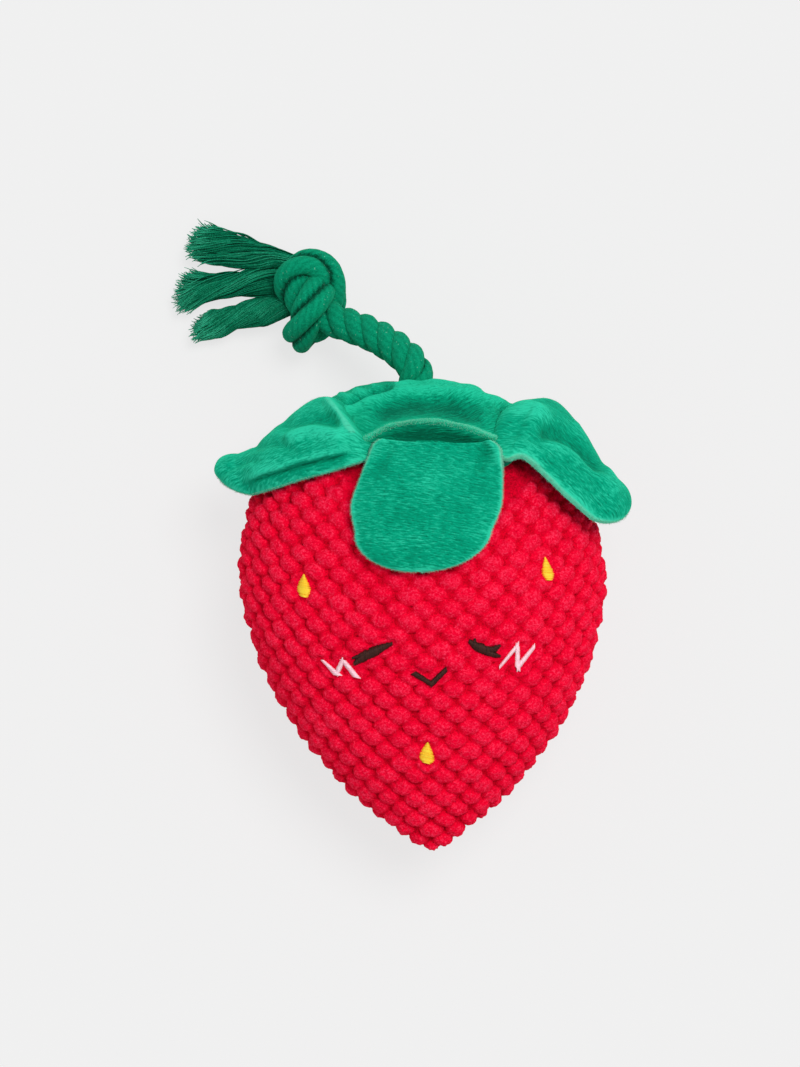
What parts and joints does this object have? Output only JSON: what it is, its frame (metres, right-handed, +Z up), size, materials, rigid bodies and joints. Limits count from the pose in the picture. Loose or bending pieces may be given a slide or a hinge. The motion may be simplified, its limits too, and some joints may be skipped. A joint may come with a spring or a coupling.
{
  "type": "plush dog toy",
  "caption": "Stuffed plush strawberry dog toy with a leafy cap, embroidered seeds and sleeping face, a squeaker inside and a knotted rope stem with tassels.",
  "frame": {"origin": "on the table under the middle of the stuffed toy with its leaves, as it lies on its back; the rope is left out of that middle", "axes": "+Z up from the table towards the embroidered front, +Y towards the leafy cap, +X towards the toy's right-hand leaf as seen from above"},
  "size_m": [0.1422, 0.1994, 0.0784],
  "materials": {
    "red_plush": "popcorn plush with soft raised bobbles",
    "green_plush": "short brushed pile with a soft sheen",
    "green_rope": "three-strand twisted cotton rope",
    "green_yarn": "combed-out cotton yarn",
    "yellow_thread": "satin stitch embroidery thread",
    "dark_thread": "satin stitch embroidery thread",
    "pink_thread": "satin stitch embroidery thread",
    "white_fibre": "loose polyester fibre filling",
    "bulb_plastic": "soft moulded plastic",
    "reed_plastic": "hard moulded plastic"
  },
  "bodies": {
    "toy": {"body_front_panel": "red_plush", "body_back_panel": "red_plush", "calyx_disc": "green_plush", "rope_anchor": "green_rope", "stuffing_front": "white_fibre", "stuffing_back": "white_fibre", "squeaker_bulb": "bulb_plastic", "squeaker_reed": "reed_plastic", "seed_left": "yellow_thread", "seed_right": "yellow_thread", "seed_lower": "yellow_thread", "eye_left": "dark_thread", "eye_right": "dark_thread", "mouth": "dark_thread", "blush_left": "pink_thread", "blush_right": "pink_thread"},
    "leaf_front": {"petal_front": "green_plush"},
    "leaf_left": {"petal_left": "green_plush"},
    "leaf_right": {"petal_right": "green_plush"},
    "leaf_back_left": {"petal_back_left": "green_plush"},
    "leaf_back_right": {"petal_back_right": "green_plush"},
    "rope": {"rope_stem": "green_rope", "rope_knot": "green_rope", "tassel_upper": "green_yarn", "tassel_middle": "green_yarn", "tassel_lower": "green_yarn"}
  },
  "joints": [
    {"name": "leaf_front_lift", "type": "hinge", "parent": "toy", "child": "leaf_front", "pos_m": [0.00482, 0.05509, 0.06523], "axis": [-0.995, -0.0015, 0.1], "range_deg": [0, 100]},
    {"name": "leaf_left_lift", "type": "hinge", "parent": "toy", "child": "leaf_left", "pos_m": [-0.0289, 0.05647, 0.05909], "axis": [-0.3218, 0.5869, -0.7429], "range_deg": [-5, 90]},
    {"name": "leaf_right_lift", "type": "hinge", "parent": "toy", "child": "leaf_right", "pos_m": [0.02993, 0.0618, 0.04911], "axis": [-0.3406, -0.3113, 0.8872], "range_deg": [-5, 90]},
    {"name": "leaf_back_left_lift", "type": "hinge", "parent": "toy", "child": "leaf_back_left", "pos_m": [-0.02563, 0.05925, 0.01309], "axis": [0.7869, -0.2223, -0.5757], "range_deg": [0, 75]},
    {"name": "leaf_back_right_lift", "type": "hinge", "parent": "toy", "child": "leaf_back_right", "pos_m": [0.02137, 0.05925, 0.01311], "axis": [0.7824, 0.2283, 0.5794], "range_deg": [0, 75]},
    {"name": "rope_swing", "type": "hinge", "parent": "toy", "child": "rope", "pos_m": [-0.00248, 0.0765, 0.0355], "axis": [0, 0, 1], "range_deg": [-70, 25]}
  ]
}
